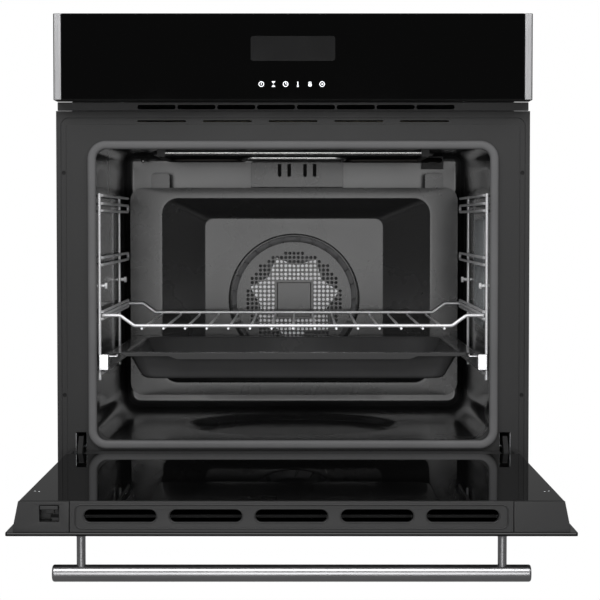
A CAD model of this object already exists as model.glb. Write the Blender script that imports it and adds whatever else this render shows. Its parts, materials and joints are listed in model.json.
"""Built-in wall oven: the visible pieces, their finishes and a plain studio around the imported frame.

Lengths are metres in the frame's own axes: X right, Y back, Z up. The door lies open.
"""

import json

import bmesh
import bpy
import numpy as np
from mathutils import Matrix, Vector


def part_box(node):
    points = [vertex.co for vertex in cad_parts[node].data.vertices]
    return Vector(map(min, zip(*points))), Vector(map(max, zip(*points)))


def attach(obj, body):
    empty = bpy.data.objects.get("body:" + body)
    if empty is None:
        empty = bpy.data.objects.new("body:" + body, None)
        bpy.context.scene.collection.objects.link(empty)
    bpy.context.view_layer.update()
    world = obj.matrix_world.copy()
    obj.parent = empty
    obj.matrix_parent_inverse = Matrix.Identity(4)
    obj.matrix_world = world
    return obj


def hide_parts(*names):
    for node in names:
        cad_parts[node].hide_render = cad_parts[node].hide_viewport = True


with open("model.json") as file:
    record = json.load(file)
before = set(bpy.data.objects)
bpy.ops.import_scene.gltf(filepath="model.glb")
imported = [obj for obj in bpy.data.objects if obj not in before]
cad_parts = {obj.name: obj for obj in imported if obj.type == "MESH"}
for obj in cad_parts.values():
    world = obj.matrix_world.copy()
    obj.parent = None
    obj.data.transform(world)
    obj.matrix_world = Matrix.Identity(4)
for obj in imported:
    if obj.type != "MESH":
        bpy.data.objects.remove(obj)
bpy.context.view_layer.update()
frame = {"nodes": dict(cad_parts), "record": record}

bl_info = {
    "name": "Wall Oven Builder",
    "version": (1, 0, 0),
    "blender": (4, 5, 0),
    "location": "View3D > Sidebar > Wall Oven",
    "description": "Builds the visible pieces and finishes of a built-in wall oven",
    "category": "Object",
}

MM = 0.001
POST_X = 220 * MM  # the handle's posts, either side of the middle
LEVELS = [(147 + 68.5 * k) * MM for k in range(4)]  # heights of the side racks' four lower wires


# ---- Places taken from the frame ----

def corners(node):
    """Lowest and highest corner of a node at rest, as the rows of an array."""
    return np.array(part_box(node))


def middle(node):
    """Centre of a node's box at rest."""
    return corners(node).mean(0)


# ---- Outlines: closed loops of points in a plane, counterclockwise ----

def arc(centre, radius, start, end, steps):
    """Points on a circle's arc, from the start angle to the end angle in degrees."""
    a = np.radians(np.linspace(start, end, steps))
    return np.array(centre) + radius * np.stack([np.cos(a), np.sin(a)], -1)


def circle(x, y, radius, steps=32):
    """A whole circle, without a doubled last point."""
    return arc((x, y), radius, 0, 360, steps + 1)[:-1]


def rounded(x0, x1, y0, y1, radius, radius_top=None, steps=7):
    """Rectangle whose four corners are quarter circles."""
    top = radius if radius_top is None else radius_top
    return np.concatenate([
        arc((x0 + radius, y0 + radius), radius, 180, 270, steps),
        arc((x1 - radius, y0 + radius), radius, 270, 360, steps),
        arc((x1 - top, y1 - top), top, 0, 90, steps),
        arc((x0 + top, y1 - top), top, 90, 180, steps),
    ])


def stadium(x, y, length, height, steps=9):
    """Slot with round ends, lying along the first axis."""
    r = height / 2
    half = length / 2 - r
    return np.concatenate([
        arc((x + half, y), r, -90, 90, steps),
        arc((x - half, y), r, 90, 270, steps),
    ])


def cove(radius, start, end, steps):
    """Points of a rounded corner: radius * (1 - cos a) across and radius * sin a along, in degrees."""
    a = np.radians(np.linspace(start, end, steps))
    return list(zip(radius * (1 - np.cos(a)), radius * np.sin(a)))


def even_loop(x0, x1, z0, z1, radius, top, counts):
    """Rounded rectangle with a fixed number of points on each stretch, so that loops of any size match.

    The loop starts at the lower left corner; counts gives the points on the floor, the right side,
    the top, the left side and each corner.
    """
    floor, right, over, left, corner = counts

    def run(a, b, n):
        t = np.linspace(0, 1, n + 2)[1:-1, None]
        return np.array(a) * (1 - t) + np.array(b) * t

    r, t = max(radius, 1e-5), max(top, 1e-5)
    return np.concatenate([
        arc((x0 + r, z0 + r), r, 180, 270, corner),
        run((x0 + r, z0), (x1 - r, z0), floor),
        arc((x1 - r, z0 + r), r, 270, 360, corner),
        run((x1, z0 + r), (x1, z1 - t), right),
        arc((x1 - t, z1 - t), t, 0, 90, corner),
        run((x1 - t, z1), (x0 + t, z1), over),
        arc((x0 + t, z1 - t), t, 90, 180, corner),
        run((x0, z1 - t), (x0, z0 + r), left),
    ])


def ray_at(angle):
    """Unit directions outwards and along the turn, at an angle in radians."""
    return np.array([np.cos(angle), np.sin(angle)]), np.array([-np.sin(angle), np.cos(angle)])


def fan_axis():
    """Where the fan's axis crosses the back wall, as (x, z)."""
    return 0.0, middle("fan_cover")[2]


def onto_circle(loop, centre, radius):
    """Each point of a loop moved along its ray from the centre to the circle of that radius."""
    ray = loop - np.array(centre)
    return np.array(centre) + radius * ray / np.linalg.norm(ray, axis=1, keepdims=True)


# ---- Meshes ----

def finish_piece(obj, slot, node=None, body="chassis", sharp=35, finish=None):
    """Gives a piece its finish, its smooth and sharp edges, its body and the node it stands for.

    The finish is the slot's own unless another is named.
    """
    obj.data.materials.clear()
    obj.data.materials.append(FINISHES[finish or slot])
    obj.data.shade_smooth()
    obj.data.set_sharp_from_angle(angle=np.radians(sharp))
    shading = obj.modifiers.new("Even shading", "WEIGHTED_NORMAL")
    shading.keep_sharp = True
    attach(obj, body)
    if node:
        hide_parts(node)
    return obj


def linked(name, data):
    """An object in the scene that shows that data."""
    obj = bpy.data.objects.new(name, data)
    bpy.context.scene.collection.objects.link(obj)
    return obj


def new_object(name, verts, faces):
    """A mesh object from an array of points and a list of faces."""
    mesh = bpy.data.meshes.new(name)
    mesh.from_pydata(np.asarray(verts, float).tolist(), [], [list(map(int, f)) for f in faces])
    mesh.update()
    return linked(name, mesh)


def points_of(mesh):
    """The points of a mesh, one in each row."""
    co = np.zeros(len(mesh.vertices) * 3)
    mesh.vertices.foreach_get("co", co)
    return co.reshape(-1, 3)


def standing(loop, y):
    """A loop of (x, z) points stood up at that depth."""
    return np.column_stack([loop[:, 0], np.full(len(loop), y), loop[:, 1]])


def sheet_of(obj, thickness):
    """Turns a skin into sheet metal, thickened inwards."""
    sheet = obj.modifiers.new("Sheet", "SOLIDIFY")
    sheet.thickness = thickness
    sheet.offset = -1


def outward(obj, merge=1e-6):
    """Merges doubled points and turns all faces of a closed shape outwards."""
    bm = bmesh.new()
    bm.from_mesh(obj.data)
    bmesh.ops.remove_doubles(bm, verts=bm.verts, dist=merge)
    bmesh.ops.recalc_face_normals(bm, faces=bm.faces)
    bm.to_mesh(obj.data)
    bm.free()
    obj.data.update()
    return obj


def grid_faces(rows, columns, closed=True):
    """Quads of a grid of points, row by row; closed joins the last column to the first."""
    span = columns if closed else columns - 1
    i, j = np.meshgrid(np.arange(rows - 1), np.arange(span), indexing="ij")
    k = (j + 1) % columns
    quads = np.stack([i * columns + j, i * columns + k, (i + 1) * columns + k, (i + 1) * columns + j], -1)
    return quads.reshape(-1, 4).tolist()


def loft(name, loops, capped=True):
    """Skin over a stack of matching loops, with the two end loops closed by flat faces if capped."""
    loops = np.asarray(loops)
    rows, columns = loops.shape[:2]
    faces = grid_faces(rows, columns)
    if capped:
        faces += [list(range(columns))[::-1], list(range((rows - 1) * columns, rows * columns))]
    obj = new_object(name, loops.reshape(-1, 3), faces)
    return outward(obj) if capped else obj


def joined(name, parts):
    """One object out of several, in the order given."""
    verts, faces, offset = [], [], 0
    for part in parts:
        verts.append(points_of(part.data))
        faces += [[offset + v for v in p.vertices] for p in part.data.polygons]
        offset += len(part.data.vertices)
        bpy.data.objects.remove(part)
    return new_object(name, np.concatenate(verts), faces)


def bent(points, radius, steps=8):
    """A path through the points whose inner corners are rounded to the radius by arcs."""
    points = np.array(points, float)
    path = [points[:1]]
    for before, here, after in zip(points[:-2], points[1:-1], points[2:]):
        a, b = before - here, after - here
        la, lb = np.linalg.norm(a), np.linalg.norm(b)
        a, b = a / la, b / lb
        half = np.arccos(np.clip(a @ b, -1, 1)) / 2
        cut = min(radius / np.tan(half), la * 0.49, lb * 0.49)
        r = cut * np.tan(half)
        across = (a + b) / np.linalg.norm(a + b)
        centre = here + across * r / np.sin(half)
        start, end = here + a * cut - centre, here + b * cut - centre
        turn = np.pi - 2 * half
        t = np.linspace(0, 1, steps)[:, None] * turn
        path.append(centre + (start * np.sin(turn - t) + end * np.sin(t)) / np.sin(turn))
    path.append(points[-1:])
    return np.concatenate(path)


def tube(name, path, radius, normal, sides=12, looped=False, shape=None):
    """A round bar carried along a path that lies in the plane with that normal.

    Each ring is centre + shape_1(a) * normal + shape_2(a) * side, where side is square to both the
    path and the normal; shape is the bar's cross-section, a circle unless it is given.
    """
    path = np.asarray(path, float)
    if looped:
        along = np.roll(path, -1, 0) - np.roll(path, 1, 0)
    else:
        along = np.gradient(path, axis=0)
        along[0], along[-1] = path[1] - path[0], path[-1] - path[-2]
    along /= np.linalg.norm(along, axis=1, keepdims=True)
    up = np.array(normal, float)
    side = np.cross(along, up)
    side /= np.linalg.norm(side, axis=1, keepdims=True)
    if shape is None:
        a = np.linspace(0, 2 * np.pi, sides, endpoint=False)
        shape = radius * np.stack([np.cos(a), np.sin(a)], -1)
    rings = path[:, None] + shape[None, :, 0, None] * up + shape[None, :, 1, None] * side[:, None]
    if looped:
        rings = np.concatenate([rings, rings[:1]])
        return outward(loft(name, rings, capped=False), 1e-5)
    cap = []
    for end, sign in ((0, -1), (-1, 1)):
        inner = path[end] + sign * along[end] * radius * 0.35 + (rings[end] - path[end]) * 0.72
        cap.append(inner[None])
    return loft(name, np.concatenate([cap[0], rings, cap[1]]))


def soft_block(name, lo, hi, edge=0.0006, corner=None):
    """A box with rounded edges: rounded rectangles stacked along Z, drawn in at both ends.

    The inset follows a quarter circle: inset = edge * (1 - cos), height = edge * sin.
    """
    lo, hi = np.array(lo, float), np.array(hi, float)
    corner = edge * 1.5 if corner is None else corner
    turn = cove(edge, 0, 90, 4)
    levels = [(lo[2] + edge - rise, inset) for inset, rise in turn[::-1]]
    levels += [(hi[2] - edge + rise, inset) for inset, rise in turn]
    loops = []
    for z, d in levels:
        ring = rounded(lo[0] + d, hi[0] - d, lo[1] + d, hi[1] - d, max(corner - d, 1e-4), steps=5)
        loops.append(np.column_stack([ring, np.full(len(ring), z)]))
    return loft(name, loops)


def turned(name, profile, centre, axis, steps=40):
    """A solid of revolution: the profile's (radius, height) pairs turned about an axis through centre."""
    profile = np.array(profile, float)
    a = np.linspace(0, 2 * np.pi, steps, endpoint=False)
    axis = np.array(axis, float)
    first = np.roll(axis, 1)
    second = np.cross(axis, first)
    spoke = np.cos(a)[:, None] * first + np.sin(a)[:, None] * second
    rings = np.array(centre) + profile[:, 0, None, None] * spoke + profile[:, 1, None, None] * axis
    return loft(name, rings)


def plate(name, loops, thick, edge, plane, at, holes=()):
    """A sheet cut to an outline with holes, its edges rounded.

    loops are filled and holes are left open. The sheet is thickened evenly, and its rim is rounded
    by edge. plane is its normal, "x", "y" or "z", and at is the place of its middle along that.
    """
    data = bpy.data.curves.new(name, "CURVE")
    data.dimensions = "2D"
    data.fill_mode = "BOTH"
    data.extrude = thick / 2 - edge
    data.bevel_depth = edge
    data.bevel_resolution = 1
    data.offset = -edge
    for points in [*loops, *(loop[::-1] for loop in holes)]:
        spline = data.splines.new("POLY")
        spline.points.add(len(points) - 1)
        spline.points.foreach_set("co", np.column_stack(
            [points, np.zeros(len(points)), np.ones(len(points))]).ravel())
        spline.use_cyclic_u = True
    carrier = linked(name, data)
    bpy.context.view_layer.update()
    mesh = bpy.data.meshes.new_from_object(carrier.evaluated_get(bpy.context.evaluated_depsgraph_get()))
    bpy.data.objects.remove(carrier)
    bpy.data.curves.remove(data)
    u, v, w = points_of(mesh).T
    placed = {"y": (u, at - w, v), "z": (u, v, at + w), "x": (at + w, u, v)}[plane]
    mesh.vertices.foreach_set("co", np.stack(placed, -1).ravel())
    mesh.name = name
    return outward(linked(name, mesh))


def mirrored(obj, name="mirrored"):
    """A copy on the other side of the middle plane, facing outwards."""
    copy = linked(name, obj.data.copy())
    flipped = points_of(copy.data) * (-1, 1, 1)
    copy.data.vertices.foreach_set("co", flipped.ravel())
    copy.data.flip_normals()
    return copy


def pair_of(name, right):
    """One object out of a right-hand part and its mirror image."""
    return joined(name, [mirrored(right), right])


# ---- Shader nodes, and the groups that the finishes share ----

def feed(tree, node, inputs):
    """Gives each named or numbered input of a node a constant, or a link from a socket."""
    for label, value in inputs.items():
        if isinstance(value, bpy.types.NodeSocket):
            tree.links.new(value, node.inputs[label])
        else:
            node.inputs[label].default_value = value
    return node


def add_node(tree, kind, inputs, **options):
    """A new shader node of that kind, with its options and inputs set."""
    node = tree.nodes.new("ShaderNode" + kind)
    for key, value in options.items():
        setattr(node, key, value)
    return feed(tree, node, inputs)


def noise(tree, vector, scale, detail=4.0, rough=0.55):
    """The value of a noise texture that reads that vector."""
    return add_node(tree, "TexNoise", {"Vector": vector, "Scale": scale, "Detail": detail,
                                       "Roughness": rough}).outputs["Fac"]


def ranged(tree, value, low_end, high_end, from_low=0.3, from_high=0.7):
    """A value mapped from one range onto another."""
    return add_node(tree, "MapRange", {"Value": value, "From Min": from_low, "From Max": from_high,
                                       "To Min": low_end, "To Max": high_end}).outputs["Result"]


def math_node(tree, operation, a, b):
    """One arithmetic step on two values or sockets."""
    return add_node(tree, "Math", {0: a, 1: b}, operation=operation).outputs[0]


def shaded(tree, colour, factor):
    """A colour multiplied by a grey factor."""
    return add_node(tree, "VectorMath", {0: colour, "Scale": factor}, operation="SCALE").outputs[0]


def group_of(name, inputs, outputs):
    """An empty shader node group with named float, colour or vector sockets."""
    tree = bpy.data.node_groups.new(name, "ShaderNodeTree")
    kinds = {"f": "NodeSocketFloat", "c": "NodeSocketColor", "v": "NodeSocketVector"}
    for label, kind, value in inputs:
        socket = tree.interface.new_socket(label, in_out="INPUT", socket_type=kinds[kind])
        if value is not None:
            socket.default_value = value
    for label, kind in outputs:
        tree.interface.new_socket(label, in_out="OUTPUT", socket_type=kinds[kind])
    return tree, tree.nodes.new("NodeGroupInput").outputs, tree.nodes.new("NodeGroupOutput")


def coat_group():
    """Powder coat or enamel: fine orange peel, cloudy tone, a few pale specks and uneven gloss."""
    tree, given, end = group_of("Coated metal", [
        ("Vector", "v", None), ("Colour", "c", (0.05, 0.05, 0.05, 1)), ("Grain", "f", 900.0),
        ("Gloss low", "f", 0.3), ("Gloss high", "f", 0.4), ("Specks", "f", 0.0),
    ], [("Colour", "c"), ("Roughness", "f"), ("Height", "f")])
    peel = noise(tree, given["Vector"], given["Grain"], 3.0)
    cloud = noise(tree, given["Vector"], 9.0, 5.0)
    speck = add_node(tree, "TexVoronoi", {"Vector": given["Vector"], "Scale": 420.0})
    dots = ranged(tree, speck.outputs["Distance"], given["Specks"], 0.0, 0.05, 0.16)
    tone = math_node(tree, "ADD", ranged(tree, cloud, 0.88, 1.12), dots)
    feed(tree, end, {"Colour": shaded(tree, given["Colour"], tone), "Height": peel,
                     "Roughness": ranged(tree, cloud, given["Gloss low"], given["Gloss high"])})
    return tree


def brushed_group():
    """Brushed or drawn metal: noise stretched along one axis gives streaks of tone and gloss."""
    tree, given, end = group_of("Brushed metal", [
        ("Vector", "v", None), ("Colour", "c", (0.6, 0.6, 0.6, 1)), ("Stretch", "v", (1, 1, 1)),
        ("Gloss low", "f", 0.25), ("Gloss high", "f", 0.4),
    ], [("Colour", "c"), ("Roughness", "f"), ("Height", "f")])
    scaled = add_node(tree, "VectorMath", {0: given["Vector"], 1: given["Stretch"]}, operation="MULTIPLY")
    streak = noise(tree, scaled.outputs[0], 1.0, 6.0, 0.65)
    smudge = noise(tree, given["Vector"], 14.0)
    tone = math_node(tree, "MULTIPLY", ranged(tree, streak, 0.88, 1.1), ranged(tree, smudge, 0.96, 1.04))
    feed(tree, end, {"Colour": shaded(tree, given["Colour"], tone), "Height": streak,
                     "Roughness": ranged(tree, streak, given["Gloss low"], given["Gloss high"])})
    return tree


def haze_group():
    """Faint finger smudges and dust on glass: mostly clear, with soft patches of higher roughness."""
    tree, given, end = group_of("Glass haze", [
        ("Vector", "v", None), ("Clean", "f", 0.03), ("Hazy", "f", 0.12),
    ], [("Roughness", "f")])
    patch = noise(tree, given["Vector"], 11.0, 6.0, 0.6)
    feed(tree, end, {"Roughness": ranged(tree, patch, given["Clean"], given["Hazy"], 0.5, 0.8)})
    return tree


# ---- Finishes ----

GROUPS = {}
FINISHES = {}


def material_base(name, settings):
    """A material, its tree, its shader with those constants, and its object coordinates."""
    mat = bpy.data.materials.new(name)
    mat.use_nodes = True
    tree = mat.node_tree
    shader = feed(tree, tree.nodes["Principled BSDF"], settings)
    return mat, tree, shader, add_node(tree, "TexCoord", {}).outputs["Object"]


def grouped(maker, name, settings, inputs, bump=None):
    """A material whose shader reads a shared group, made the first time that it is asked for.

    bump is the strength and the distance of the group's height, if it has one.
    """
    if maker not in GROUPS:
        GROUPS[maker] = maker()
    mat, tree, shader, place = material_base(name, settings)
    given = add_node(tree, "Group", {"Vector": place, **inputs}, node_tree=GROUPS[maker]).outputs
    feed(tree, shader, {"Roughness": given["Roughness"]})
    if bump:
        raised = add_node(tree, "Bump", {"Strength": bump[0], "Distance": bump[1],
                                         "Height": given["Height"]})
        feed(tree, shader, {"Base Color": given["Colour"], "Normal": raised.outputs["Normal"]})
    return mat


def coated(name, colour, gloss=(0.3, 0.42), grain=900.0, peel=0.12, specks=0.0, **settings):
    """Painted or enamelled metal, moulded plastic and rubber."""
    return grouped(coat_group, name, settings, {
        "Colour": (*colour, 1), "Grain": grain, "Specks": specks,
        "Gloss low": gloss[0], "Gloss high": gloss[1]}, (peel, 0.0003))


def brushed(name, colour, stretch, gloss=(0.22, 0.36), depth=0.08, **settings):
    """Bare metal with drawn or brushed streaks; stretch is how fast the noise runs on each axis."""
    return grouped(brushed_group, name, {"Metallic": 1.0, **settings}, {
        "Colour": (*colour, 1), "Stretch": stretch,
        "Gloss low": gloss[0], "Gloss high": gloss[1]}, (depth, 0.0002))


def glazed(name, colour, haze=(0.02, 0.08), **settings):
    """Glass: clear or black printed, with faint haze."""
    return grouped(haze_group, name, {"Base Color": (*colour, 1), **settings},
                   {"Clean": haze[0], "Hazy": haze[1]})


def glowing_print(name, colour, strength):
    """Screen print that is lit from behind."""
    mat, tree, shader, place = material_base(name, {"Emission Strength": strength})
    ink = add_node(tree, "RGB", {}).outputs[0]
    ink.default_value = (*colour, 1)
    tone = shaded(tree, ink, ranged(tree, noise(tree, place, 2500.0, 2.0), 0.9, 1.05))
    feed(tree, shader, {"Base Color": tone, "Emission Color": tone})
    return mat


def grey(level):
    """A neutral colour of that linear level."""
    return (level, level, level * 1.02)


def build_finishes():
    """Every finish of the oven, by the record's material slot or by its own name."""
    fine_x, fine_y, fine_z = (12.0, 1400.0, 1400.0), (1400.0, 12.0, 1400.0), (1400.0, 1400.0, 12.0)
    FINISHES.update({
        "frame_enamel": coated("Frame powder coat", grey(0.017), (0.42, 0.52), 1500.0, 0.10),
        "trim_black": coated("Trim plastic", grey(0.030), (0.45, 0.55), 1800.0, 0.10),
        "panel_glass": glazed("Black panel glass", grey(0.0008), (0.02, 0.06), **{"Specular IOR Level": 0.2}),
        "steel_trim": brushed("Panel end steel", grey(0.46), fine_z, (0.3, 0.42)),
        "carrier_plastic": coated("Carrier plastic", grey(0.02), (0.5, 0.6), 1400.0, 0.15),
        "circuit_board": coated("Circuit board", (0.015, 0.11, 0.045), (0.3, 0.4), 700.0, 0.1, 0.5),
        "oven_enamel": coated("Oven enamel", grey(0.036), (0.2, 0.28), 260.0, 0.05, 0.3,
                              **{"Coat Weight": 0.8, "Coat Roughness": 0.12}),
        "panel_enamel": coated("Rear panel enamel", grey(0.024), (0.24, 0.3), 420.0, 0.05, 0.1,
                               **{"Coat Weight": 0.7, "Coat Roughness": 0.2}),
        "heater_steel": brushed("Heater tube", (0.075, 0.07, 0.066), (160.0, 160.0, 160.0), (0.45, 0.6), 0.0),
        "heater_front": brushed("Grill tube", (0.8, 0.8, 0.79), (9.0, 9.0, 9.0), (0.24, 0.28), 0.0),
        "dark_clip": coated("Clip enamel", grey(0.012), (0.4, 0.55), 900.0, 0.1),
        "seal_rubber": coated("Seal rubber", grey(0.115), (0.55, 0.7), 1300.0, 0.2),
        "chrome_wire": brushed("Chromed wire", grey(0.97), (30.0, 30.0, 30.0), (0.28, 0.36), 0.0,
                               **{"Metallic": 0.45}),
        "runner_steel": brushed("Drawn steel", grey(0.62), fine_y, (0.22, 0.36)),
        "bright_steel": brushed("Bright steel", grey(0.78), (300.0, 30.0, 300.0), (0.18, 0.3)),
        "motor_steel": brushed("Motor laminations", (0.3, 0.29, 0.27), (20.0, 900.0, 20.0), (0.4, 0.55)),
        "casing_steel": brushed("Galvanised casing", (0.47, 0.48, 0.49), (35.0, 35.0, 35.0), (0.3, 0.5)),
        "lamp_glass": glazed("Ribbed lamp glass", (0.75, 0.78, 0.8), (0.05, 0.15),
                             **{"Transmission Weight": 0.7, "IOR": 1.5}),
        "bulb_glass": glazed("Bulb glass", (0.9, 0.88, 0.8), (0.05, 0.1),
                             **{"Transmission Weight": 0.5}),
        "wool": coated("Mineral wool", (0.5, 0.46, 0.33), (0.85, 0.95), 500.0, 0.9),
        "terminal_plastic": coated("Terminal plastic", grey(0.03), (0.45, 0.55), 1200.0, 0.1),
        "door_glass_outer": glazed("Outer door glass", grey(0.004), (0.02, 0.05)),
        "door_glass_middle": glazed("Middle door glass", grey(0.02), (0.02, 0.05),
                                    **{"Transmission Weight": 0.6}),
        "door_glass_inner": glazed("Inner door glass", grey(0.003), (0.02, 0.045),
                                   **{"IOR": 1.3, "Specular IOR Level": 0.22}),
        "door_metal": coated("Door profile coat", grey(0.024), (0.36, 0.46), 1500.0, 0.08),
        "handle_steel": brushed("Handle steel", grey(0.55), fine_x, (0.24, 0.36)),
        "tray_enamel": coated("Tray enamel", grey(0.072), (0.2, 0.28), 300.0, 0.05, 0.2,
                              **{"Coat Weight": 0.5, "Coat Roughness": 0.12}),
        "touch_print": glowing_print("Touch mark print", (0.8, 0.82, 0.85), 1.0),
        "fan_star": brushed("Fan star plate", grey(0.9), (300.0, 30.0, 300.0), (0.4, 0.5), 0.0),
        "fan_wheel": brushed("Fan wheel", grey(0.14), (200.0, 200.0, 200.0), (0.4, 0.5), 0.0),
        "slot_dark": coated("Slot interior", grey(0.006), (0.7, 0.8), 600.0, 0.1),
        "display_glass": glazed("Display window", grey(0.010), (0.08, 0.14)),
    })


def dress_nodes():
    """Gives every node that stays visible the finish of its material slot."""
    for row in frame["record"]["subparts"]:
        mesh = frame["nodes"][row["node"]].data
        mesh.materials.clear()
        slot = "dark_clip" if row["node"] == "hinge_arms" else row["material_slot"]
        mesh.materials.append(FINISHES[slot])


# ---- Settings shown in the sidebar ----

def length(name, text, default, least, most):
    """A length for the sidebar, in metres."""
    return bpy.props.FloatProperty(name=name, description=text, default=default, min=least, max=most,
                                   unit="LENGTH")


def power(name, text, default):
    """The power of a light for the sidebar, in watts."""
    return bpy.props.FloatProperty(name=name, description=text, default=default, min=0, unit="POWER")


class OvenFrontSettings(bpy.types.PropertyGroup):
    """Sizes of the front that a user would change."""

    edge: length("Edge rounding", "Radius on the edges of the sheet metal", 0.0005, 0.0001, 0.0009)
    mark_height: length("Touch mark", "Height of a touch mark on the control panel", 0.0068, 0.004, 0.009)
    display: bpy.props.BoolProperty(
        name="Display window", description="Show the unlit display window in the control panel",
        default=True)


class OvenInsideSettings(bpy.types.PropertyGroup):
    """Sizes inside the oven that a user would change."""

    back_fillet: length("Back corner", "Radius between the walls and the back wall", 0.012, 0.006, 0.016)
    hole_radius: length("Cover hole", "Radius of a hole in the fan cover", 0.0023, 0.0015, 0.0026)
    wire_bend: length("Wire bend", "Radius on the bends of the rack wires", 0.008, 0.002, 0.015)


class OvenStageSettings(bpy.types.PropertyGroup):
    """Colours and strengths of the studio."""

    backdrop: bpy.props.FloatVectorProperty(
        name="Backdrop", description="Colour behind the oven", subtype="COLOR",
        default=(1.0, 1.0, 1.0), min=0, max=1)
    key: power("Key light", "Power of the high softboxes", 26.0)
    front: power("Front light", "Power of the low softbox behind the camera", 9.0)
    mouth: power("Mouth light", "Power of the strip that shines down into the oven", 7.0)
    side: power("Side lights", "Power of each softbox beside the door", 9.0)


# ---- Front ----

class OVEN_OT_front_frame(bpy.types.Operator):
    """Make the pressed front frame with its channel, and the vent strip above it"""

    bl_idname = "oven.front_frame"
    bl_label = "Front frame"

    def execute(self, context):
        edge = context.scene.oven_front.edge
        lo, hi = corners("front_frame")
        seal_lo, seal_hi = corners("door_gasket")
        sheet = 2 * MM
        channel_in, channel_out = 285 * MM, 291.7 * MM
        top_in, top_out = 461.2 * MM, 468.9 * MM
        mouth = rounded(-247.5 * MM, 247.5 * MM, seal_lo[2] + 11.2 * MM, seal_hi[2] - 10.5 * MM,
                        22 * MM, 14 * MM, 9)
        slots = [rounded(x - 7 * MM, x + 7 * MM, 46 * MM, 73 * MM, 1 * MM, steps=3)
                 for x in (-267.7 * MM, 267.7 * MM)]
        inner_outline = np.concatenate([
            [[-channel_in, lo[2]], [channel_in, lo[2]]],
            arc((channel_in - 4 * MM, top_in - 4 * MM), 4 * MM, 0, 90, 6),
            arc((-channel_in + 4 * MM, top_in - 4 * MM), 4 * MM, 90, 180, 6)])
        inner = plate("inner", [inner_outline], sheet, edge, "y", sheet / 2, [mouth] + slots)
        outer_outline = np.concatenate([
            [[lo[0], lo[2]], [-channel_out, lo[2]]],
            arc((-channel_out + 10 * MM, top_out - 10 * MM), 10 * MM, 180, 90, 9),
            arc((channel_out - 10 * MM, top_out - 10 * MM), 10 * MM, 90, 0, 9),
            [[channel_out, lo[2]], [hi[0], lo[2]], [hi[0], hi[2]], [lo[0], hi[2]]]])
        outer = plate("outer", [outer_outline], sheet, edge, "y", sheet / 2)
        deep = 0.8 * MM
        floor_outline = np.concatenate([
            [[-channel_out - MM, lo[2]], [-channel_in + MM, lo[2]]],
            arc((-channel_in + 5 * MM, top_in - 5 * MM), 4 * MM, 180, 90, 6),
            arc((channel_in - 5 * MM, top_in - 5 * MM), 4 * MM, 90, 0, 6),
            [[channel_in - MM, lo[2]], [channel_out + MM, lo[2]]],
            arc((channel_out - 9 * MM, top_out - 9 * MM), 10 * MM, 0, 90, 9),
            arc((-channel_out + 9 * MM, top_out - 9 * MM), 10 * MM, 90, 180, 9)])
        holes = [stadium(i * 82.5 * MM, 465 * MM, 61 * MM, 2.2 * MM) for i in range(-2, 3)]
        holes += [circle(x, z, 2.5 * MM, 20) for x in (-288.3 * MM, 288.3 * MM)
                  for z in (120 * MM, 400 * MM)]
        floor = plate("floor", [floor_outline], deep, deep * 0.1, "y", sheet - deep / 2, holes)
        returns = [soft_block("return", (s * (hi[0] - MM) - MM, sheet, lo[2]),
                              (s * (hi[0] - MM) + MM, hi[1], hi[2]), 0.4 * MM) for s in (-1, 1)]
        returns.append(soft_block("return", (lo[0], sheet, lo[2]), (hi[0], 14 * MM, lo[2] + sheet), 0.4 * MM))
        obj = joined("front_frame_pressing", [inner, outer, floor] + returns)
        finish_piece(obj, "frame_enamel", "front_frame")

        strips = [soft_block("strip", (min(s * 283, s * 294) * MM, sheet + 0.2 * MM, 60 * MM),
                             (max(s * 283, s * 294) * MM, 8 * MM, 460 * MM), 0.6 * MM) for s in (-1, 1)]
        foam = joined("frame_foam_strips", strips)
        finish_piece(foam, "trim_black", finish="slot_dark")

        lo, hi = corners("vent_trim")
        slots = [stadium(3.7 * MM + (i - 3.5) * 50 * MM, (lo[2] + hi[2]) / 2 - 0.7 * MM,
                         47.7 * MM, 5.3 * MM) for i in range(8)]
        strip = plate("vent_strip", [rounded(lo[0], hi[0], lo[2], hi[2], MM)], sheet, edge, "y",
                      sheet / 2, slots)
        finish_piece(strip, "trim_black", "vent_trim")
        return {"FINISHED"}


def touch_marks(x, z, tall):
    """Outlines and holes of six plain marks: power, hourglass, clock, bar, lock and dial."""
    r = tall / 2
    line = tall * 0.13
    marks = []

    def bar(cx, cz, wide, long):
        marks.append(rounded(cx - wide / 2, cx + wide / 2, cz - long / 2, cz + long / 2,
                             min(wide, long) * 0.3, steps=3))

    ringed = (x[0], x[2], x[5])
    marks += [circle(cx, z, r, 28) for cx in ringed]
    bar(x[0], z + r * 0.15, line, r * 0.9)
    for s in (-1, 1):
        marks.append(np.array([[x[1] + s * r * 0.7, z + s * r], [x[1] - s * r * 0.7, z + s * r],
                               [x[1], z + s * 0.08 * tall]]))
    bar(x[2], z + r * 0.28, line, r * 0.7)
    bar(x[2] + r * 0.42, z, r * 0.44, line)
    bar(x[3], z + r * 0.15, line * 1.4, tall * 0.75)
    marks.append(circle(x[3], z - r * 0.72, line * 1.3, 16))
    bar(x[4], z - r * 0.3, tall * 0.62, tall * 0.56)
    marks.append(np.concatenate([arc((x[4], z + r * 0.3), r * 0.6, 0, 180, 12),
                                 arc((x[4], z + r * 0.3), r * 0.6 - line, 180, 0, 12)]))
    marks.append(circle(x[5], z, line * 1.1, 14))
    bar(x[5] + r * 0.5, z, r * 0.3, line)
    return marks, [circle(cx, z, r - line, 28) for cx in ringed]


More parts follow.
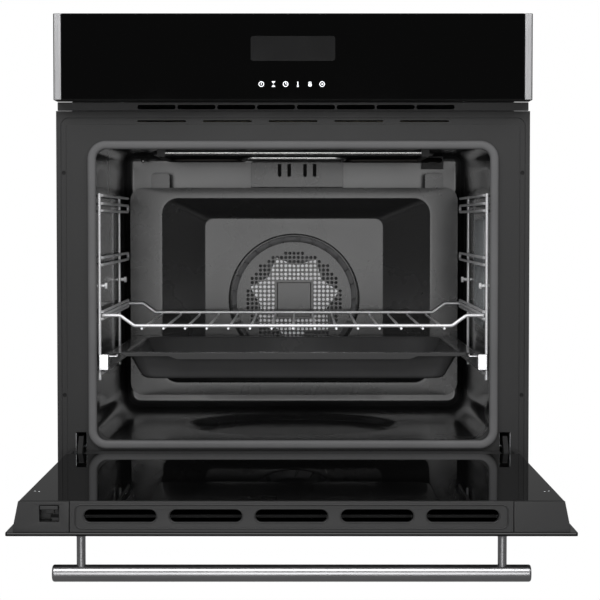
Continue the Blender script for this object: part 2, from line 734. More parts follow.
class OVEN_OT_control_panel(bpy.types.Operator):
    """Make the control panel's glass, steel ends, display window and touch marks"""

    bl_idname = "oven.control_panel"
    bl_label = "Control panel"

    def execute(self, context):
        settings = context.scene.oven_front
        glass = soft_block("panel_face", *corners("control_panel_glass"), 0.8 * MM)
        finish_piece(glass, "panel_glass", "control_panel_glass")
        lo, hi = corners("panel_ends")
        wide = (hi[0] - lo[0]) / 2 - corners("control_panel_glass")[1][0] - 0.2 * MM
        right = soft_block("end", (hi[0] - wide, lo[1], lo[2]), hi, 0.7 * MM)
        finish_piece(pair_of("panel_end_strips", right), "steel_trim", "panel_ends")
        face = corners("control_panel_glass")[0][1]
        x = (np.arange(6) - 2.6) * 15 * MM
        loops, holes = touch_marks(x, 508.2 * MM, settings.mark_height)
        marks = plate("touch_marks", loops, 0.06 * MM, 0.001 * MM, "y", face - 0.03 * MM, holes)
        finish_piece(marks, "panel_glass", finish="touch_print")
        if settings.display:
            outline = rounded(-52 * MM, 52 * MM, 537 * MM, 567 * MM, 3 * MM)
            window = plate("display_window", [outline], 0.1 * MM, 0.02 * MM, "y", face)
            finish_piece(window, "panel_glass", finish="display_glass")
        return {"FINISHED"}


# ---- Oven space ----

def smooth_step(value, start, end):
    """Rises smoothly from 0 at start to 1 at end."""
    t = np.clip((value - start) / (end - start), 0, 1)
    return t * t * (3 - 2 * t)


class OVEN_OT_liner(bpy.types.Operator):
    """Make the enamelled liner: rounded walls, floor dish, lamp well and fan pocket"""

    bl_idname = "oven.liner"
    bl_label = "Oven liner"

    def execute(self, context):
        fillet = context.scene.oven_inside.back_fillet
        lo, hi = corners("cavity")
        wall = 1.5 * MM
        x1, z0, z1 = hi[0] - wall, 63.5 * MM, hi[2] - wall
        front, back, pocket_back = lo[1], 428 * MM, hi[1] - wall
        fan = fan_axis()
        counts = (110, 70, 26, 60, 7)

        def wall_loop(inset):
            return even_loop(-x1 + inset, x1 - inset, z0 + inset, z1 - inset,
                             max(22 * MM - inset, 2 * MM), max(14 * MM - inset, 2 * MM), counts)

        rows = [(y, wall_loop(0)) for y in np.linspace(front, back - fillet, 100)]
        rows += [(back - fillet + along, wall_loop(across)) for across, along in cove(fillet, 12, 90, 7)]
        flat = rows[-1][1]
        rim_r, pocket_r = 113 * MM, 110 * MM
        rim = onto_circle(flat, fan, rim_r)
        rows += [(back, flat * (1 - t) + rim * t) for t in (0.25, 0.5, 0.75, 1.0)]
        rows += [(back + across, onto_circle(flat, fan, rim_r - along))
                 for across, along in cove(rim_r - pocket_r, 20, 90, 4)]
        rows += [(y, onto_circle(flat, fan, pocket_r)) for y in (445 * MM, pocket_back - 6 * MM)]
        rows += [(pocket_back - 6 * MM + along, onto_circle(flat, fan, pocket_r - across))
                 for across, along in cove(6 * MM, 20, 90, 4)]
        rows.append((pocket_back, onto_circle(flat, fan, 7 * MM)))
        grid = np.array([standing(loop, y) for y, loop in rows])

        x, y, z = grid[..., 0], grid[..., 1], grid[..., 2]
        walls = slice(0, 100)
        reach = np.hypot(x, y - 197 * MM)
        dish = 1 - smooth_step(reach, 130 * MM, 145 * MM)
        z[walls] -= (9 * MM * dish * (z < z0 + 0.5 * MM))[walls]
        on_side = (np.abs(x) > x1 - 0.5 * MM)
        panel = (smooth_step(y, 34 * MM, 44 * MM) * (1 - smooth_step(y, 386 * MM, 396 * MM))
                 * smooth_step(z, 96 * MM, 106 * MM) * (1 - smooth_step(z, 398 * MM, 408 * MM)))
        lamp_lo, lamp_hi = corners("lamp_cover")
        well = (smooth_step(y, lamp_lo[1] + 6 * MM, lamp_lo[1] + 12 * MM)
                * (1 - smooth_step(y, lamp_hi[1] - 12 * MM, lamp_hi[1] - 6 * MM))
                * smooth_step(z, lamp_lo[2] + 6 * MM, lamp_lo[2] + 12 * MM)
                * (1 - smooth_step(z, lamp_hi[2] - 12 * MM, lamp_hi[2] - 6 * MM))) * (x > 0)
        push = np.where(well > 0, 18 * MM * well, 1.2 * MM * panel)
        near_lamp = ((x > 0) & (y > lamp_lo[1] - 12 * MM) & (y < lamp_hi[1] + 12 * MM)
                     & (z > lamp_lo[2] - 12 * MM) & (z < lamp_hi[2] + 12 * MM) & (well == 0))
        push = np.where(near_lamp, 0, push)
        x[walls] += (np.sign(x) * push * on_side)[walls]

        obj = loft("oven_liner", grid, capped=False)
        sheet_of(obj, 0.9 * MM)
        finish_piece(obj, "oven_enamel", "cavity", sharp=50)
        return {"FINISHED"}


class OVEN_OT_door_seal(bpy.types.Operator):
    """Make the door seal: a soft hollow bead carried round the mouth"""

    bl_idname = "oven.door_seal"
    bl_label = "Door seal"

    def execute(self, context):
        lo, hi = corners("door_gasket")
        width, deep = 11.0 * MM, hi[1] - lo[1]
        half = width / 2
        path = rounded(lo[0] + half, hi[0] - half, lo[2] + half, hi[2] - half, 18 * MM, steps=14)
        a = np.linspace(0, 2 * np.pi, 20, endpoint=False)
        bulge = np.sign(np.cos(a)) * np.abs(np.cos(a)) ** 0.75
        shape = np.stack([-deep * (0.5 + 0.5 * np.sin(a)) * 0.985 - 0.00005, half * bulge * 0.99], -1)
        seal = tube("door_seal", standing(path, 0.0), half, (0, 1, 0), looped=True, shape=shape)
        finish_piece(seal, "seal_rubber", "door_gasket", sharp=60)
        return {"FINISHED"}


class OVEN_OT_rear_panel(bpy.types.Operator):
    """Make the rear panel with its slanted recess, its tabs, the perforated fan cover and the outlet"""

    bl_idname = "oven.rear_panel"
    bl_label = "Rear panel and fan cover"

    def execute(self, context):
        lo, hi = corners("rear_panel")
        sheet = 1.2 * MM
        face, floor = lo[1], hi[1] - sheet
        fan = fan_axis()
        counts = (40, 30, 40, 30, 9)
        flange = even_loop(lo[0], hi[0], lo[2], 387.9 * MM, 18 * MM, 18 * MM, counts)
        mouth = (-190 * MM, 196 * MM, 106 * MM, 370.8 * MM)
        bed = (-131 * MM, 131 * MM, 126 * MM, 343.8 * MM)

        def ring(box, grow, radius):
            return even_loop(box[0] - grow, box[1] + grow, box[2] - grow, box[3] + grow,
                             radius, radius, counts)

        rows = [(face, flange), (face, ring(mouth, 6 * MM, 25 * MM)), (face, ring(mouth, 2.4 * MM, 23 * MM))]
        rows += [(face + 0.35 * MM, ring(mouth, 1.0 * MM, 22 * MM)),
                 (face + 1.2 * MM, ring(mouth, 0, 21 * MM))]
        start, end = rows[-1][1], ring(bed, 2 * MM, 14 * MM)
        slope = (floor - face - 2.4 * MM)
        rows += [(face + 1.2 * MM + slope * t, start * (1 - t) + end * t) for t in (0.2, 0.4, 0.6, 0.8, 1.0)]
        rows += [(floor - 0.35 * MM, ring(bed, 0.4 * MM, 13 * MM)), (floor, ring(bed, -1.5 * MM, 12 * MM))]
        inner = rows[-1][1]
        gap = onto_circle(inner, fan, 97 * MM)
        rows += [(floor, inner * (1 - t) + gap * t) for t in (0.33, 0.66, 1.0)]
        rows += [(floor + 0.3 * MM, onto_circle(inner, fan, 95.3 * MM)),
                 (floor + 1.1 * MM, onto_circle(inner, fan, 94.6 * MM))]
        grid = np.array([standing(loop, y) for y, loop in rows])
        panel = loft("panel", grid, capped=False)
        sheet_of(panel, 1.0 * MM)
        finish_piece(panel, "panel_enamel", "rear_panel", sharp=40)
        panel.name = "rear_panel_pressing"

        tabs = [plate("tab", [rounded(x - 13.2 * MM, x + 13.2 * MM, 384 * MM, hi[2], 5 * MM)],
                      sheet, 0.25 * MM, "y", face + sheet / 2 + 0.1 * MM)
                for x in (-194 * MM, 203.5 * MM)]
        finish_piece(joined("rear_panel_tabs", tabs), "panel_enamel")

        pitch, hole = 6.16 * MM, context.scene.oven_inside.hole_radius
        i, j = np.meshgrid(np.arange(-12, 13), np.arange(-12, 13))
        spots = pitch * np.stack([i.ravel(), j.ravel()], -1)
        is_open = (np.hypot(*spots.T) < 70 * MM) & (np.abs(spots).max(1) > 27 * MM)
        holes = [circle(fan[0] + x, fan[1] + z, hole, 10) for x, z in spots[is_open]]
        disc = plate("disc", [circle(*fan, 84.5 * MM, 96)], sheet, 0.15 * MM, "y", floor + sheet / 2, holes)
        boss_lo = (fan[0] - 25 * MM, floor - 3 * MM, fan[1] - 25 * MM)
        boss = soft_block("boss", boss_lo, (fan[0] + 25 * MM, floor + 0.3 * MM, fan[1] + 25 * MM), 0.9 * MM)
        arms = []
        for angle in np.radians((200, 245, 295, 340)):
            along, across = ray_at(angle)
            root, tip = (fan + along * r for r in (79 * MM, 102 * MM))
            across = across * 3 * MM
            outline = np.array([root - across, tip - across, tip + across, root + across])
            arms.append(plate("arm", [outline], sheet, 0.2 * MM, "y", floor + 1.5 * sheet))
        cover = joined("fan_cover_plate", [disc, boss] + arms)
        finish_piece(cover, "panel_enamel", "fan_cover")

        lo, hi = corners("steam_outlet_cover")
        centre = (lo[0] + hi[0]) / 2
        outline = rounded(lo[0], hi[0], lo[2], hi[2], 1.5 * MM, steps=4)
        slot_r, slot_top = 2.45 * MM, hi[2] - 2 * MM
        slots = [np.concatenate([arc((x, 406.5 * MM), slot_r, 180, 360, 9),
                                 [[x + slot_r, slot_top], [x - slot_r, slot_top]]])
                 for x in centre + np.array([-25.5, -11.5, 11.5, 25.5]) * MM]
        front = plate("front", [outline], sheet, 0.3 * MM, "y", lo[1] + sheet / 2, slots)
        sides = [soft_block("side", (x, lo[1] + sheet, lo[2]), (x + sheet, hi[1], hi[2]), 0.3 * MM)
                 for x in (lo[0], hi[0] - sheet)]
        sides.append(soft_block("under", (lo[0], lo[1] + sheet, lo[2]), (hi[0], hi[1], lo[2] + sheet),
                                0.3 * MM))
        inside = rounded(lo[0] + 2 * MM, hi[0] - 2 * MM, lo[2] + 2 * MM, hi[2] - MM, MM)
        shade = plate("outlet_inside", [inside], MM, 0.2 * MM, "y", lo[1] + 6 * MM)
        finish_piece(shade, "dark_clip", finish="slot_dark")
        outlet = joined("steam_outlet_box", [front] + sides)
        finish_piece(outlet, "panel_enamel", "steam_outlet_cover")
        return {"FINISHED"}


# ---- Wires: racks, heaters ----

class OVEN_OT_side_racks(bpy.types.Operator):
    """Make the chromed side racks from bent wire, with their knurled studs"""

    bl_idname = "oven.side_racks"
    bl_label = "Side racks"

    def execute(self, context):
        wire = 2 * MM
        upright = corners("side_rack_right")[1][0] - wire - 0.2 * MM
        shelf = upright - 3.4 * MM
        front, back = 10.4 * MM, 380 * MM
        gap, top = 9.2 * MM, 372 * MM
        parts, levels = [], []
        for y in (10 * MM, 281 * MM):
            ends = [upright, y, 138.8 * MM], [upright, y, 373.9 * MM]
            parts.append(tube("upright", ends, wire, (0, 1, 0)))
        for z in LEVELS:
            path = [[upright, front, z], [shelf, front + 5 * MM, z], [shelf, back, z],
                    [shelf, back, z + gap], [shelf, front + 5 * MM, z + gap], [upright, front, z + gap]]
            levels.append(path)
        levels.append([[upright, front, top], [shelf, front + 5 * MM, top], [shelf, back, top]])
        parts += [tube("level", bent(path, 4 * MM), wire * 0.98, (1, 0, 0)) for path in levels]
        right = joined("side_rack_wire_right", parts)
        left = mirrored(right, "side_rack_wire_left")
        for obj, node in ((right, "side_rack_right"), (left, "side_rack_left")):
            finish_piece(obj, "chrome_wire", node, sharp=50)
        z = middle("rack_studs")[2]
        studs = []
        for y in (19 * MM, 290 * MM):
            turns = np.linspace(0, 2 * np.pi, 48, endpoint=False)
            knurl = 3.8 * MM + 0.2 * MM * np.sign(np.sin(turns * 12))
            heights = np.array([0.4, 0.0, 0.0, 0.4]) * MM
            x = np.array([235.6, 236.0, 238.6, 239.0]) * MM
            rings = [np.column_stack([np.full(48, xx), y + (knurl - h) * np.cos(turns),
                                      z + (knurl - h) * np.sin(turns)]) for xx, h in zip(x, heights)]
            studs.append(loft("knob", np.array(rings)))
            studs.append(tube("stem", [[238.8 * MM, y, z], [251.4 * MM, y, z]], 2.4 * MM, (0, 1, 0)))
        both = pair_of("rack_stud_nuts", joined("studs", studs))
        finish_piece(both, "chrome_wire", "rack_studs", sharp=30)
        return {"FINISHED"}


class OVEN_OT_wire_rack(bpy.types.Operator):
    """Make the sliding wire rack with its cranked end bars"""

    bl_idname = "oven.wire_rack"
    bl_label = "Wire rack"

    def execute(self, context):
        bend = context.scene.oven_inside.wire_bend
        bar = 2.1 * MM
        lo, hi = corners("wire_rack")
        rail_z = hi[2] - bar - 0.21 * MM
        low_z = rail_z - 13 * MM
        rail_x = hi[0] - bar - 0.21 * MM
        front, back = 14.5 * MM, 375.4 * MM
        parts = []
        for y in (front, back):
            half = [[0, y, low_z], [201.5 * MM, y, low_z], [219.5 * MM, y, rail_z], [rail_x, y, rail_z]]
            path = [[-p[0], p[1], p[2]] for p in half[:0:-1]] + half[1:]
            parts.append(tube("bar", bent(path, bend), bar, (0, 1, 0), 14))
        for x in (-rail_x, rail_x):
            parts.append(tube("rail", [[x, front, rail_z], [x, back, rail_z]], bar, (0, 0, 1), 14))
            for y in (front, back):
                parts.append(turned("corner", ball_profile(bar * 1.02), (x, y, rail_z), (0, 0, 1), 14))
        z = low_z - bar - 1.5 * MM
        for x in np.arange(-7, 8) * 27.4 * MM:
            ends = [x, lo[1] + 1.2 * MM, z], [x, hi[1] - 1.2 * MM, z]
            parts.append(tube("cross", ends, 1.7 * MM, (0, 0, 1)))
        rack = joined("sliding_wire_rack", parts)
        finish_piece(rack, "chrome_wire", "wire_rack", body="sliding_rack", sharp=50)
        return {"FINISHED"}


def ball_profile(radius):
    """Half circle of (radius, height) pairs, open at both poles by a hair."""
    a = np.radians(np.linspace(-84, 84, 9))
    return np.column_stack([radius * np.cos(a), radius * np.sin(a)])


class OVEN_OT_heaters(bpy.types.Operator):
    """Make the grill tube's two loops and the ring heater"""

    bl_idname = "oven.heaters"
    bl_label = "Heaters"

    def execute(self, context):
        radius = 3.25 * MM
        z = 428 * MM
        points = np.array([[212, 472], [212, 380], [180, 350], [180, 80], [-180, 80], [-180, 380],
                           [-71.5, 380], [-71.5, 287], [71.5, 287], [71.5, 398], [195, 398],
                           [195, 472]]) * MM
        path = bent(np.column_stack([points, np.full(len(points), z)]), 14 * MM)
        grill = tube("grill_tube", path, radius, (0, 0, 1), 16)
        finish_piece(grill, "heater_front", "grill_element", sharp=50)
        grill.data.materials.append(FINISHES["heater_steel"])
        for face in grill.data.polygons:
            if face.center.y > 300 * MM or (face.center.y > 95 * MM and abs(face.center.x) > 80 * MM):
                face.material_index = 1
        lo, hi = corners("ring_heater")
        fan = fan_axis()
        coil = hi[2] - radius - fan[1]
        turns = []
        for y in (lo[1] + radius, lo[1] + radius + 11 * MM):
            ring = circle(*fan, coil, 96)
            turns.append(tube("turn", standing(ring, y), radius, (0, 1, 0), looped=True))
        for x in (-14 * MM, 14 * MM):
            ends = [x, lo[1] + radius, fan[1] - coil], [x, hi[1], fan[1] - coil]
            turns.append(tube("end", ends, radius * 0.98, (0, 0, 1)))
        ring = joined("ring_heater_tube", turns)
        finish_piece(ring, "heater_steel", "ring_heater", sharp=50)
        return {"FINISHED"}


class OVEN_OT_hot_air_fan(bpy.types.Operator):
    """Make the hot air fan: a bright seven-pointed plate in front of dark blades"""

    bl_idname = "oven.hot_air_fan"
    bl_label = "Hot air fan"

    def execute(self, context):
        lo, hi = corners("hot_air_fan")
        fan = fan_axis()
        a = np.radians(113 + np.arange(14) * 180 / 7)
        reach = np.where(np.arange(14) % 2 == 0, 67 * MM, 50 * MM)
        star = np.array(fan) + reach[:, None] * np.stack([np.cos(a), np.sin(a)], -1)
        front = plate("fan_star", [star], MM, 0.2 * MM, "y", lo[1] + 0.5 * MM)
        finish_piece(front, "bright_steel", "hot_air_fan", body="hot_air_rotor", finish="fan_star")
        blades = []
        for angle in np.radians(np.arange(25) * 360 / 25):
            along, across = ray_at(angle)
            inner, outer = (fan + along * r for r in (60 * MM, 92 * MM))
            side, lean = across * 0.5 * MM, across * 8 * MM
            quad = np.array([inner - side - lean, outer - side, outer + side, inner + side - lean])
            blades.append(plate("blade", [quad], 17.8 * MM, 0.1 * MM, "y", 427 * MM))
        disc = plate("disc", [circle(*fan, 92 * MM, 72)], MM, 0.2 * MM, "y", 436.4 * MM)
        hub = turned("hub", [(5 * MM, 0), (9 * MM, 0), (9 * MM, 21 * MM), (5 * MM, 21 * MM)],
                     (fan[0], lo[1] + MM, fan[1]), (0, 1, 0), 24)
        rear = joined("fan_wheel", blades + [disc, hub])
        finish_piece(rear, "bright_steel", body="hot_air_rotor", finish="fan_wheel")
        return {"FINISHED"}


# ---- Tray, runners and lamp ----

class OVEN_OT_tray(bpy.types.Operator):
    """Make the enamelled tray: rolled rim, sloping walls and a coved floor"""

    bl_idname = "oven.tray"
    bl_label = "Tray"

    def execute(self, context):
        lo, hi = corners("tray")
        counts = (40, 40, 40, 40, 9)
        floor, rim = lo[2] + 1.2 * MM, hi[2]
        well_x, bed_x = 212 * MM, 197 * MM
        y0, y1 = lo[1], hi[1]

        def ring(x, inset_y, radius):
            return even_loop(-x, x, y0 + inset_y, y1 - inset_y, radius, radius, counts)

        rows = [(rim - 1.0 * MM, ring(hi[0] - 0.1 * MM, 0.1 * MM, 10 * MM)),
                (rim - 0.2 * MM, ring(hi[0] - 0.1 * MM, 0.1 * MM, 10 * MM)),
                (rim - 0.05 * MM, ring(hi[0] - 1 * MM, 1 * MM, 10 * MM)),
                (rim - 0.05 * MM, ring(well_x + 5 * MM, 12 * MM, 26 * MM))]
        rows += [(rim - 0.05 * MM - across, ring(well_x + 3 * MM - along, 14 * MM + along, 25 * MM))
                 for across, along in cove(4 * MM, 0, 70, 5)]
        for a in np.radians(np.linspace(20, 90, 6)):
            rows.append((floor + 9 * MM * (1 - np.sin(a)),
                         ring(bed_x - 9 * MM + 9 * MM * np.cos(a), 37 * MM - 7 * MM * np.cos(a), 17 * MM)))
        rows.append((floor, ring(bed_x - 40 * MM, 70 * MM, 12 * MM)))
        grid = np.array([np.column_stack([loop, np.full(len(loop), z)]) for z, loop in rows])
        last = grid[-1].mean(0)
        grid = np.concatenate([grid, [grid[-1] * 0.02 + last * 0.98]])
        body = loft("tray", grid, capped=False)
        bm = bmesh.new()
        bm.from_mesh(body.data)
        bmesh.ops.holes_fill(bm, edges=[e for e in bm.edges if e.is_boundary and
                                        max(abs(v.co.x) for v in e.verts) < 20 * MM], sides=0)
        bmesh.ops.recalc_face_normals(bm, faces=bm.faces)
        bm.to_mesh(body.data)
        bm.free()
        up = sum(p.normal.z * p.area for p in body.data.polygons)
        if up < 0:
            body.data.flip_normals()
        sheet_of(body, 1.0 * MM)
        finish_piece(body, "tray_enamel", "tray", body="tray_carriage", sharp=40)
        body.name = "enamelled_tray"
        drop = 8.6 * MM
        half, flat = 219 * MM, 148 * MM
        side = [[flat, rim - drop], [flat + 10 * MM, rim - drop * 0.55], [half - 8 * MM, rim - drop * 0.55],
                [half, rim - 2 * MM], [half, rim - 0.4 * MM]]
        far = [[-x, z] for x, z in side[::-1]]
        outline = np.array(far[1:] + side + far[:1])
        lip = plate("tray_front_lip", [outline], 1.2 * MM, 0.3 * MM, "y", y0 + 0.6 * MM)
        finish_piece(lip, "tray_enamel", body="tray_carriage", finish="trim_black")
        return {"FINISHED"}


class OVEN_OT_runners(bpy.types.Operator):
    """Make the telescopic runners' moving bars with their bright front blocks"""

    bl_idname = "oven.runners"
    bl_label = "Telescopic runners"

    def execute(self, context):
        lo, hi = corners("runner_slides")
        top = hi[2]
        face, back = lo[1], hi[1]
        start, bar_x, shelf_x = face + 5.6 * MM, 234.6 * MM, 222 * MM
        block = soft_block("block", (232.8 * MM, face, 151.2 * MM), (hi[0], start, top), 0.9 * MM, 1.4 * MM)
        bar = soft_block("bar", (232.4 * MM, start, 152 * MM), (bar_x, back, 168 * MM), 0.5 * MM)
        shelf = soft_block("shelf", (shelf_x, start, 167.9 * MM), (bar_x, back, 169.4 * MM), 0.4 * MM)
        lip = soft_block("lip", (shelf_x, start, 168 * MM), (223.5 * MM, back, top), 0.4 * MM)
        both = pair_of("runner_front_slides", joined("slide", [block, bar, shelf, lip]))
        finish_piece(both, "runner_steel", "runner_slides", body="tray_carriage", sharp=30,
                     finish="bright_steel")
        return {"FINISHED"}


class OVEN_OT_lamp(bpy.types.Operator):
    """Make the lamp's ribbed glass cover"""

    bl_idname = "oven.lamp"
    bl_label = "Lamp cover"

    def execute(self, context):
        lo, hi = corners("lamp_cover")
        span_y, span_z = hi[1] - lo[1], hi[2] - lo[2]
        rows, columns = 40, 121
        v, u = np.meshgrid(np.linspace(-1, 1, rows), np.linspace(-1, 1, columns), indexing="ij")
        corner = 12 * MM
        y = u * span_y / 2
        z = v * span_z / 2
        over = np.maximum(np.abs(z) - (span_z / 2 - corner), 0)
        y = y * (1 - (corner - np.sqrt(corner ** 2 - over ** 2)) / (span_y / 2))
        rim = np.minimum(1 - np.abs(u), 1 - np.abs(v)) * 20
        ribs = 0.45 * MM * np.cos(u * 11 * 2 * np.pi) * np.clip(rim - 1, 0, 1)
        outer = lo[0] + 0.6 * MM + ribs + 0.6 * MM * (1 - np.clip(rim, 0, 1))
        cy, cz = (lo[1] + hi[1]) / 2, (lo[2] + hi[2]) / 2
        front = np.stack([outer, cy + y, cz + z], -1)
        rear = np.stack([np.full_like(outer, hi[0]), cy + y, cz + z], -1)
        verts = np.concatenate([front.reshape(-1, 3), rear.reshape(-1, 3)])
        skin = grid_faces(rows, columns, closed=False)
        count = rows * columns
        faces = skin + [[i + count for i in f[::-1]] for f in skin]
        index = np.arange(count).reshape(rows, columns)
        edge = np.concatenate([index[0, :-1], index[:-1, -1], index[-1, :0:-1], index[:0:-1, 0]])
        following = np.roll(edge, -1)
        faces += np.stack([edge, following, following + count, edge + count], -1).tolist()
        glass = outward(new_object("lamp_glass_cover", verts, faces))
        finish_piece(glass, "lamp_glass", "lamp_cover", sharp=60)
        return {"FINISHED"}


# ---- Door ----

class OVEN_OT_door_glass(bpy.types.Operator):
    """Make the outer and inner door panes with polished edges and the inner pane's print"""

    bl_idname = "oven.door_glass"
    bl_label = "Door panes"

    def execute(self, context):
        lo, hi = corners("door_outer_glass")
        outline = rounded(lo[0], hi[0], lo[1], hi[1], 2 * MM, steps=4)
        y = middle("handle_posts")[1]
        holes = [circle(x, y, 2.6 * MM, 20) for x in (-POST_X, POST_X)]
        outer = plate("outer_pane", [outline], hi[2] - lo[2], 0.7 * MM, "z", (lo[2] + hi[2]) / 2, holes)
        finish_piece(outer, "door_glass_outer", "door_outer_glass", body="door")
        lo, hi = corners("door_inner_glass")
        outline = rounded(lo[0], hi[0], lo[1], hi[1], 1.5 * MM, steps=4)
        inner = plate("inner_pane", [outline], hi[2] - lo[2], 0.6 * MM, "z", (lo[2] + hi[2]) / 2)
        finish_piece(inner, "door_glass_inner", "door_inner_glass", body="door")
        dots = [circle(s * x * MM, lo[1] + y * MM, 0.9 * MM, 12) for s in (-1, 1)
                for x, y in ((270, 68), (275, 72))]
        marks = plate("inner_pane_dots", dots, 0.05 * MM, 0.001 * MM, "z", hi[2] + 0.01 * MM)
        finish_piece(marks, "door_glass_inner", body="door", finish="touch_print")
        return {"FINISHED"}


class OVEN_OT_door_edges(bpy.types.Operator):
    """Make the door's slotted leading edge, its corner caps and the release tab"""

    bl_idname = "oven.door_edges"
    bl_label = "Door edge profiles"

    def execute(self, context):
        lo, hi = corners("door_top_profile")
        thick = hi[1] - lo[1] - 0.8 * MM
        at = hi[1] - thick / 2
        slot_x, slot_z = np.arange(-2, 3) * 88.4 * MM, 36 * MM
        slots = [stadium(x, slot_z, 74.5 * MM, 13 * MM, 13) for x in slot_x]
        base = plate("base", [rounded(lo[0], hi[0], lo[2], hi[2], 0.6 * MM, steps=3)],
                     thick, 0.5 * MM, "y", at, slots)
        frame_path = rounded(-223 * MM, 223 * MM, 23 * MM, 47.5 * MM, 6 * MM, steps=8)
        beads = [tube("bead", standing(frame_path, lo[1] + 0.85 * MM), 0.8 * MM, (0, 1, 0), 10, looped=True)]
        for x in slot_x:
            rim = stadium(x, slot_z, 76.5 * MM, 15 * MM, 13)
            beads.append(tube("lip", standing(rim, lo[1] + 0.95 * MM), 0.55 * MM, (0, 1, 0), 8, looped=True))
        edge = joined("door_leading_edge", [base] + beads)
        finish_piece(edge, "door_metal", "door_top_profile", body="door", sharp=50)

        lo, hi = corners("door_corner_caps")
        inner_x, outer_x = 282 * MM, hi[0]
        start = 229.4 * MM
        face = [[start, lo[2]], [outer_x, lo[2]], [outer_x, lo[2] + 5 * MM], [inner_x, hi[2]], [start, hi[2]]]
        thick = hi[1] - lo[1]
        at = (lo[1] + hi[1]) / 2
        right = plate("cap", [np.array(face)], thick, 0.8 * MM, "y", at)
        tab = corners("glass_release_tab")
        x0, x1 = tab[0][0] - 0.5 * MM, tab[1][0] + 0.5 * MM
        notch = rounded(x0, x1, 30 * MM, tab[1][2] + 0.4 * MM, 1 * MM, steps=3)
        mirror_face = np.array([[-x, z] for x, z in face[::-1]])
        left = plate("cap", [mirror_face], thick, 0.8 * MM, "y", at, [notch])
        caps = joined("door_edge_caps", [left, right])
        finish_piece(caps, "door_metal", "door_corner_caps", body="door")
        lo, hi = tab
        finger = soft_block("finger", (lo[0], lo[1], 42.7 * MM), (hi[0], hi[1] - 2 * MM, hi[2]), 0.6 * MM)
        stem = soft_block("stem", (lo[0] + 5 * MM, hi[1] - 3 * MM, lo[2]), (hi[0] - 5 * MM, hi[1], hi[2]),
                          0.4 * MM)
        release = joined("release_tab", [finger, stem])
        finish_piece(release, "door_metal", "glass_release_tab", body="release_tab")
        return {"FINISHED"}


class OVEN_OT_handle(bpy.types.Operator):
    """Make the round handle bar with domed ends, and its posts"""

    bl_idname = "oven.handle"
    bl_label = "Door handle"

    def execute(self, context):
        lo, hi = corners("handle_bar")
        r, half = (hi[2] - lo[2]) / 2, hi[0]
        centre = (lo + hi) / 2
        soft = 2.5 * MM
        ends = [(r - across, half - soft + along) for across, along in cove(soft, 0, 90, 7)]
        ends.append((r * 0.5, half))
        profile = [(q, -h) for q, h in ends[::-1]] + ends
        bar = turned("handle_bar_tube", profile, (0, centre[1], centre[2]), (1, 0, 0), 48)
        finish_piece(bar, "handle_steel", "handle_bar", body="door", sharp=40)
        lo, hi = corners("handle_posts")
        posts = []
        y, z0, z1 = (lo[1] + hi[1]) / 2, centre[2] + r * 0.7, hi[2]
        for x in (-POST_X, POST_X):
            profile = [(2 * MM, z0), (4.7 * MM, z0), (4.7 * MM, z1 - 5 * MM), (5.2 * MM, z1 - 3 * MM),
                       (5.95 * MM, z1 - 1.2 * MM), (5.95 * MM, z1), (2 * MM, z1)]
            posts.append(turned("post", profile, (x, y, 0), (0, 0, 1), 32))
        pair = joined("handle_post_pair", posts)
        finish_piece(pair, "handle_steel", "handle_posts", body="door", sharp=30)
        return {"FINISHED"}


# ---- Stage ----

class OVEN_OT_stage(bpy.types.Operator):
    """Make the backdrop, the lights and the camera"""

    bl_idname = "oven.stage"
    bl_label = "Studio"

    def execute(self, context):
        settings = context.scene.oven_stage
        scene = context.scene
        scene.view_settings.view_transform = "Standard"
        camera = bpy.data.cameras.new("View")
        camera.sensor_width = 36
        camera.lens = 116.8
        eye = linked("View", camera)
        eye.location = (8.7 * MM, -2.45, 340.4 * MM)
        eye.rotation_euler = (np.radians(90 - 2.34), 0, 0)
        scene.camera = eye

        world = bpy.data.worlds.new("Studio")
        world.use_nodes = True
        tree = world.node_tree
        back = feed(tree, tree.nodes["Background"], {"Color": (*settings.backdrop, 1), "Strength": 1.0})
        dim = add_node(tree, "Background", {"Color": (1, 1, 1, 1), "Strength": 0.14})
        seen = add_node(tree, "LightPath", {}).outputs["Is Camera Ray"]
        mix = add_node(tree, "MixShader", {"Fac": seen, 1: dim.outputs[0], 2: back.outputs[0]})
        feed(tree, tree.nodes["World Output"], {"Surface": mix.outputs[0]})
        scene.world = world

        soft_light("Key", (-1.7, -1.9, 2.3), (0.0, 0.1, 0.2), (1.6, 1.6), settings.key)
        soft_light("Rim", (1.7, -1.5, 2.1), (0.0, 0.1, 0.3), (1.2, 1.2), settings.key * 0.7)
        soft_light("Front", (0.0, -2.75, 0.16), (0.0, 0.4, 0.24), (1.3, 0.92), settings.front)
        soft_light("Mouth", (0.0, -1.3, 1.08), (0.0, 0.2, 0.2), (1.1, 0.35), settings.mouth)
        for name, x in (("Left", -1.5), ("Right", 1.5)):
            lamp = soft_light(name, (x, -1.9, 0.35), (0.0, 0.25, 0.25), (0.5, 0.8), settings.side)
            lamp.visible_glossy = False
        return {"FINISHED"}


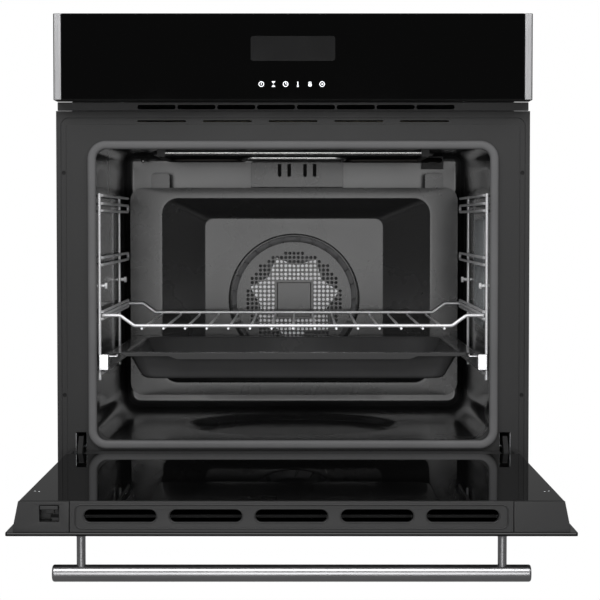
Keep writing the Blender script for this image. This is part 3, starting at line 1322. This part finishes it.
def soft_light(name, place, target, size, power):
    """A softbox of that width and height at a place, facing the target; returns its object."""
    data = bpy.data.lights.new(name, "AREA")
    data.shape = "RECTANGLE"
    data.size, data.size_y = size
    data.energy = power
    lamp = linked(name, data)
    away = np.array(place) - np.array(target)
    flat = np.hypot(away[0], away[1])
    lamp.location = place
    lamp.rotation_euler = (np.arctan2(flat, away[2]), 0, np.arctan2(away[0], -away[1]))
    return lamp


class OVEN_PT_panel(bpy.types.Panel):
    """Lists the steps that build the oven"""

    bl_label = "Wall oven"
    bl_idname = "OVEN_PT_panel"
    bl_space_type = "VIEW_3D"
    bl_region_type = "UI"
    bl_category = "Wall Oven"

    def draw(self, context):
        layout = self.layout
        for settings in (context.scene.oven_front, context.scene.oven_inside, context.scene.oven_stage):
            for key in settings.__annotations__:
                layout.prop(settings, key)
        for operator in BUILD_ORDER:
            layout.operator(operator.bl_idname)


BUILD_ORDER = (
    OVEN_OT_stage, OVEN_OT_front_frame, OVEN_OT_control_panel, OVEN_OT_liner, OVEN_OT_door_seal,
    OVEN_OT_rear_panel, OVEN_OT_side_racks, OVEN_OT_wire_rack, OVEN_OT_heaters,
    OVEN_OT_hot_air_fan, OVEN_OT_tray, OVEN_OT_runners, OVEN_OT_lamp, OVEN_OT_door_glass,
    OVEN_OT_door_edges, OVEN_OT_handle,
)
SETTINGS = {"oven_front": OvenFrontSettings, "oven_inside": OvenInsideSettings,
            "oven_stage": OvenStageSettings}


def register():
    """Registers the settings, the operators and the panel."""
    for key, group in SETTINGS.items():
        bpy.utils.register_class(group)
        setattr(bpy.types.Scene, key, bpy.props.PointerProperty(type=group))
    for item in BUILD_ORDER + (OVEN_PT_panel,):
        bpy.utils.register_class(item)


def unregister():
    """Removes everything that register added."""
    for item in (OVEN_PT_panel,) + BUILD_ORDER[::-1]:
        bpy.utils.unregister_class(item)
    for key, group in SETTINGS.items():
        delattr(bpy.types.Scene, key)
        bpy.utils.unregister_class(group)


def main():
    """Builds every piece in order."""
    register()
    build_finishes()
    dress_nodes()
    for operator in BUILD_ORDER:
        area, step = operator.bl_idname.split(".")
        getattr(getattr(bpy.ops, area), step)()


if __name__ == "__main__":
    main()
